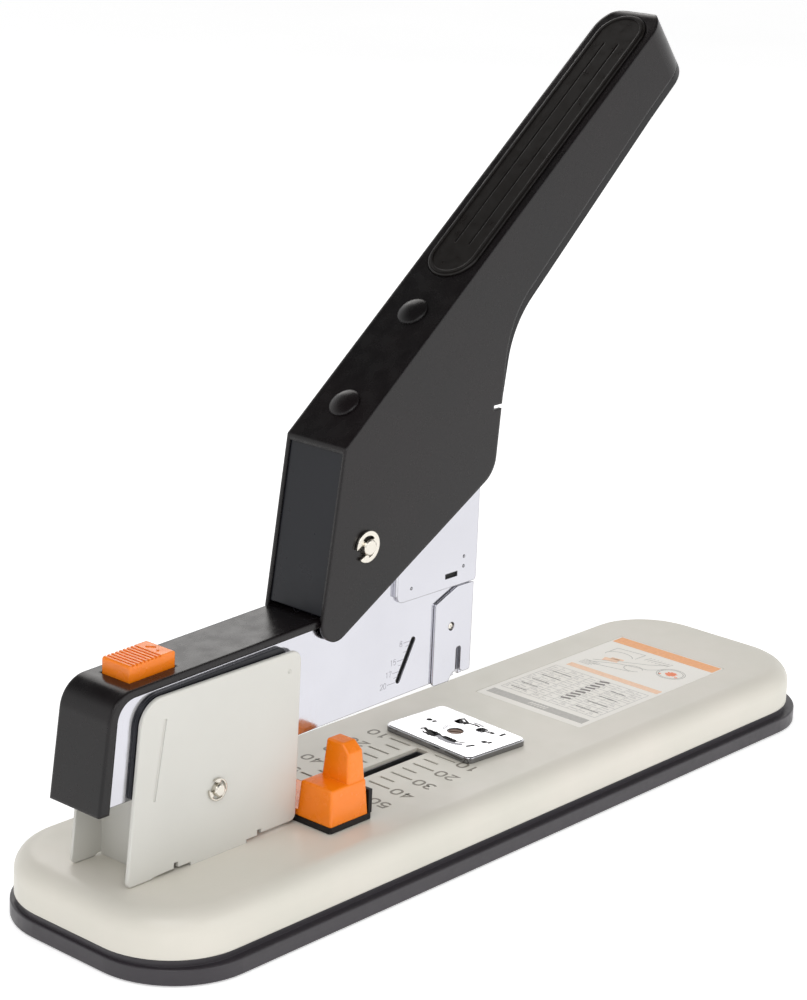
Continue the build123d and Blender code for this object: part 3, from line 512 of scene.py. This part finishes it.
def side_plane(sign, distance):
    """Drawing plane on a side face, seen from outside, with y measured up from the base's top."""
    return plane((0, sign * distance, BASE_TOP), (-sign, 0, 0), (0, 0, 1))


# Number, share of the way up the window and length of each staple-length tick.
GAUGE_TICKS = (("20", 0.0, 3.4), ("", 0.12, 1.5), ("17", 0.25, 2.9), ("", 0.4, 1.5), ("15", 0.52, 2.9),
               ("", 0.7, 1.5), ("", 0.83, 1.5), ("8", 0.93, 3.2))


def gauge_marks(finishes):
    """Staple-length ticks and numbers beside the slanted window, each side."""
    low = Vector((-33.7, 31.1))
    high = Vector((-26.9, 43.6))
    height = 1.7
    for side, sign in (("left", -1), ("right", 1)):
        strokes = []
        for text, share, length in GAUGE_TICKS:
            end = low.lerp(high, share)
            x = end.x - 1.1
            tail = x - length
            strokes.append(([(-sign * x, end.y), (-sign * tail, end.y)], 0.16))
            wide = len(text) * height * (GLYPH_WIDTH + 0.22) - height * 0.22
            left = -(tail - 0.5) if sign == 1 else tail - 0.5 - wide
            strokes += [(line, 0.17) for line in digits(text, left, end.y - height / 2, height)]
        where = side_plane(sign, ARM_SIDE)
        artwork(f"gauge_marks_{side}", "arm", where, finishes["etch_and_shade_grey"], strokes, 0.02)


def pad_border(finishes):
    """Raised rounded line round the edge of the grip pad."""
    tilt = math.radians(39.1)
    x = 31.2
    z = BASE_TOP + 108.2 + (x + 62.0) * math.tan(tilt)
    along = (math.cos(tilt), 0, math.sin(tilt))
    lift = Vector((-math.sin(tilt), 0, math.cos(tilt))) * 0.66
    where = plane((x + lift.x, 0, z + lift.z), along, (0, 1, 0))
    half = 111.0 / 2 - 8.8
    outline = arc(half, 0, 7.4, 7.4, -90, 90, 24) + arc(-half, 0, 7.4, 7.4, 90, 270, 24)
    outline.append(outline[0])
    artwork("pad_border", "handle", where, finishes["grip"], [(outline, 0.9)], 0.28)


def button_arrow(finishes):
    """Moulded arrow on the front third of the release button."""
    slope = 0.038
    x = -123.6
    z = BASE_TOP + 56.0 + slope * (x + 143.0) + 4.6
    where = plane((x, 0, z), (0, -1, 0), (1, 0, slope))
    arrow = [([(-2.4, -0.9), (0, 1.1), (2.4, -0.9)], 0.7)]
    artwork("button_arrow", "button", where, finishes["orange_plastic"], arrow, 0.22)


def anvil_marks(finishes):
    """Curved clinch grooves and small punched marks of the turning plate, drawn as dark and grey painted shade
    with painted highlights, and fine scratches.
    """
    turn = math.radians(-4.0)
    along = (math.cos(turn), math.sin(turn), 0)
    across = (-math.sin(turn), math.cos(turn), 0)
    where = plane((5.5, 0, ANVIL_PRINT), along, across)
    shade = [
        ([(-6.0, 8.4), (-8.3, 2.4)], 2.1),
        ([(-5.2, 3.4), (-6.1, 1.0), (-6.5, -1.6), (-6.6, -4.0), (-6.2, -6.2), (-4.8, -9.0)], 0.6),
        ([(-6.6, -11.0), (-3.8, -12.0)], 1.1),
        ([(9.0, 6.2), (6.9, 1.7)], 2.1),
        ([(7.9, 1.6), (8.5, -0.3), (8.3, -2.4)], 0.8),
        ([(7.0, -4.8), (7.8, -9.2)], 1.4),
        ([(7.9, -11.6), (10.6, -11.5)], 1.0),
        ([(-0.1, 10.1), (1.4, 9.8)], 1.1),
        ([(0.6, -13.4), (2.1, -13.7)], 1.1),
    ]
    artwork("anvil_groove_shade", "anvil", where, finishes["shadow_gap"], shade, 0.03)
    # Grey bands in the grooves' hollows are painted shade; the same grey also draws real etched marks and
    # scratches.
    hollow_shade = [
        ([(-7.1, 0.9), (-8.0, -1.8), (-8.2, -4.6), (-7.6, -7.4), (-6.4, -9.2)], 1.5),
        ([(9.5, 1.2), (9.7, -1.0), (9.3, -3.2)], 0.7),
    ]
    artwork("anvil_hollow_shade", "anvil", where, finishes["etch_and_shade_grey"], hollow_shade, 0.02)
    lifted = plane((5.5, 0, ANVIL_OVERPRINT), along, across)
    bright = [
        ([(-6.9, 7.7), (-7.9, 5.2)], 0.8),
        ([(8.6, 5.2), (7.7, 3.4)], 0.7),
        ([(7.3, -6.0), (7.6, -7.8)], 0.45),
    ]
    artwork("anvil_glints", "anvil", lifted, finishes["chrome_plate"], bright, 0.03)
    scratches = [([(3.2 - 0.7 * i, 4.4 + 0.3 * i), (-2.6 + 0.5 * i, 3.2 + 0.5 * i)], 0.16) for i in range(4)]
    scratches += [([(5.6, -2.0 - i * 1.3), (3.6, -3.0 - i * 1.3)], 0.16) for i in range(4)]
    artwork("anvil_scratches", "anvil", where, finishes["etch_and_shade_grey"], scratches, 0.02)


def window_linings(finishes):
    """Dark sheets of painted shade behind the arm's windows and the head's slots, each side."""
    for side, sign in (("left", -1), ("right", 1)):
        gauge = [([(sign * 34.6, 29.6), (sign * 26.2, 44.8)], 2.6)]
        wire = [([(sign * 33.6, 31.2), (sign * 27.3, 43.0)], 0.3)]
        slot = [([(sign * 15.2, 59.75), (sign * 9.0, 59.75)], 2.0)]
        # The two dark strips are painted shade inside the window and the slot.
        for name, distance, material, strokes, cad_slot, height in (
                ("gauge_window_shade", WINDOW_SHADE, "shadow_gap", gauge, "black_plastic", 0.04),
                ("gauge_wire", WINDOW_WIRE, "plain_steel", wire, "plain_steel", 0.03),
                ("head_slot_shade", SLOT_SHADE, "shadow_gap", slot, "black_plastic", 0.03)):
            where = side_plane(sign, distance)
            artwork(f"{name}_{side}", "arm", where, finishes[material], strokes, height)


DOME_RINGS = 8
DOME_SIDES = 32


def dome(name, body, centre, axis_y, radius, rise, material, slotted=False):
    """Low domed head on a side face, facing +Y or -Y, with an optional cut across it."""
    mesh = bmesh.new()
    loops = []
    for i in range(DOME_RINGS):
        angle = math.pi / 2 * i / DOME_RINGS
        r = radius * math.cos(angle)
        h = rise * math.sin(angle)
        loop = []
        for k in range(DOME_SIDES):
            a = 2 * math.pi * k / DOME_SIDES
            x = r * math.cos(a)
            z = r * math.sin(a)
            cut = slotted and abs(x * 0.8 + z * 0.6) < radius * 0.16
            loop.append(mesh.verts.new((x, axis_y * (h - (rise * 0.35 if cut else 0)), z)))
        loops.append(loop)
    top = mesh.verts.new((0, axis_y * (rise * (0.65 if slotted else 1.0)), 0))
    floor_point = mesh.verts.new((0, 0, 0))
    for low, high in zip(loops, loops[1:]):
        for k in range(DOME_SIDES):
            n = (k + 1) % DOME_SIDES
            mesh.faces.new((low[k], low[n], high[n], high[k]))
    for k in range(DOME_SIDES):
        n = (k + 1) % DOME_SIDES
        mesh.faces.new((loops[-1][k], loops[-1][n], top))
        mesh.faces.new((loops[0][n], loops[0][k], floor_point))
    bmesh.ops.recalc_face_normals(mesh, faces=mesh.faces)
    bmesh.ops.translate(mesh, verts=mesh.verts, vec=centre)
    bmesh.ops.scale(mesh, verts=mesh.verts, vec=(MM, MM, MM))
    data = bpy.data.meshes.new(name)
    mesh.to_mesh(data)
    mesh.free()
    for face in data.polygons:
        face.use_smooth = True
    data.materials.append(material)
    piece = bpy.data.objects.new(name, data)
    bpy.context.scene.collection.objects.link(piece)
    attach(piece, body)
    return piece


def small_metalwork(finishes):
    """Nose screws and the head plate's pressed dimples."""
    for side, sign in (("left", -1), ("right", 1)):
        dome(f"nose_screw_{side}", "tray", (-10.9, sign * 9.3, 63.3), sign, 1.15, 0.7,
             finishes["nickel"], slotted=True)
        for i, (x, z) in enumerate(((-6.6, 81.5), (-6.6, 84.6), (-30.0, 79.6))):
            dome(f"head_dimple_{side}_{i}", "arm", (x, sign * 10.0, z), sign, 0.55, 0.12,
                 finishes["chrome"])


# ---------------------------------------------------------------------- stage
WORLD_LIGHT = 0.5
CEILING = 0.1
FLOOR_GLOW = 0.45
FLOOR_REACH = 4.0
CAMERA_PLACE = (-0.58590, -0.48992, 0.32765)
CAMERA_WAY = (0.72192, 0.62910, -0.28820)
CAMERA_ROLL = 2.38
CAMERA_LENS = 95.02


def area_light(name, place, aim, size, power, colour=(1, 1, 1)):
    """Soft rectangular light aimed at a point."""
    data = bpy.data.lights.new(name, "AREA")
    data.shape = "RECTANGLE"
    data.size, data.size_y = size
    data.energy = power
    data.color = colour
    light = bpy.data.objects.new(name, data)
    light.location = place
    light.rotation_mode = "QUATERNION"
    light.rotation_quaternion = (Vector(aim) - Vector(place)).to_track_quat("-Z", "Y")
    bpy.context.scene.collection.objects.link(light)
    return light


def surroundings():
    """White world, dimmed towards its ceiling where it is seen in reflections."""
    world = bpy.data.worlds.new("studio")
    world.use_nodes = True
    tree = world.node_tree
    background = tree.nodes["Background"]
    background.inputs["Color"].default_value = (1, 1, 1, 1)
    path = tree.nodes.new("ShaderNodeLightPath")
    strength = tree.nodes.new("ShaderNodeMapRange")
    strength.inputs["To Max"].default_value = WORLD_LIGHT
    tree.links.new(path.outputs["Is Diffuse Ray"], strength.inputs["Value"])
    tree.links.new(strength.outputs["Result"], background.inputs["Strength"])
    direction = tree.nodes.new("ShaderNodeTexCoord")
    height = tree.nodes.new("ShaderNodeSeparateXYZ")
    tree.links.new(direction.outputs["Generated"], height.inputs[0])
    ceiling = tree.nodes.new("ShaderNodeMapRange")
    for key, value in (("From Min", 0.42), ("From Max", 0.68), ("To Min", 1.0), ("To Max", CEILING)):
        ceiling.inputs[key].default_value = value
    tree.links.new(height.outputs["Z"], ceiling.inputs["Value"])
    tree.links.new(ceiling.outputs["Result"], strength.inputs["To Min"])
    bpy.context.scene.world = world


def pale_floor():
    """White floor with a faint glow of its own."""
    mesh = bpy.data.meshes.new("floor")
    corners = [(x * FLOOR_REACH, y * FLOOR_REACH, 0) for x, y in ((-1, -1), (1, -1), (1, 1), (-1, 1))]
    mesh.from_pydata(corners, [], [(0, 1, 2, 3)])
    floor = bpy.data.objects.new("floor", mesh)
    bpy.context.scene.collection.objects.link(floor)
    finish = Finish("floor")
    tone = finish.ranged(finish.noise(3, 3), 0.0, 1.0)
    finish.feed(finish.mixed(tone, srgb(0.985, 0.985, 0.985), srgb(1, 1, 1)), "Base Color")
    finish.fix("Roughness", 0.9)
    finish.fix("Specular IOR Level", 0.1)
    finish.fix("Emission Color", (1, 1, 1, 1))
    finish.fix("Emission Strength", FLOOR_GLOW)
    mesh.materials.append(finish.material)


def studio():
    """Pale floor, white surroundings and three soft lights."""
    surroundings()
    bpy.context.scene.view_settings.view_transform = "Standard"
    pale_floor()
    area_light("key", (-0.75, -0.55, 0.95), (0, 0, 0.08), (0.7, 0.7), 4.6)
    area_light("side", (0.25, -1.1, 0.45), (0, 0, 0.1), (0.9, 0.6), 2.6)
    area_light("back", (0.7, 0.9, 0.9), (0, 0, 0.1), (0.8, 0.8), 3.2, (1.0, 0.97, 0.94))


def camera():
    """Camera at the photograph's angle, slightly rolled."""
    forward = Vector(CAMERA_WAY).normalized()
    right = Vector((forward.y, -forward.x, 0)).normalized()
    up = right.cross(forward)
    roll = math.radians(CAMERA_ROLL)
    x_axis = right * math.cos(roll) + up * math.sin(roll)
    y_axis = up * math.cos(roll) - right * math.sin(roll)
    data = bpy.data.cameras.new("camera")
    data.lens = CAMERA_LENS
    data.sensor_width = 36.0
    view = bpy.data.objects.new("camera", data)
    view.rotation_mode = "QUATERNION"
    matrix = Matrix((x_axis, y_axis, -forward)).transposed()
    view.rotation_quaternion = matrix.to_quaternion()
    view.location = CAMERA_PLACE
    bpy.context.scene.collection.objects.link(view)
    bpy.context.scene.camera = view


finishes = build_materials()
dress_nodes(finishes)
base_numbers(finishes)
scale_fills(finishes)
label_art(finishes)
gauge_marks(finishes)
pad_border(finishes)
button_arrow(finishes)
anvil_marks(finishes)
window_linings(finishes)
small_metalwork(finishes)
studio()
camera()
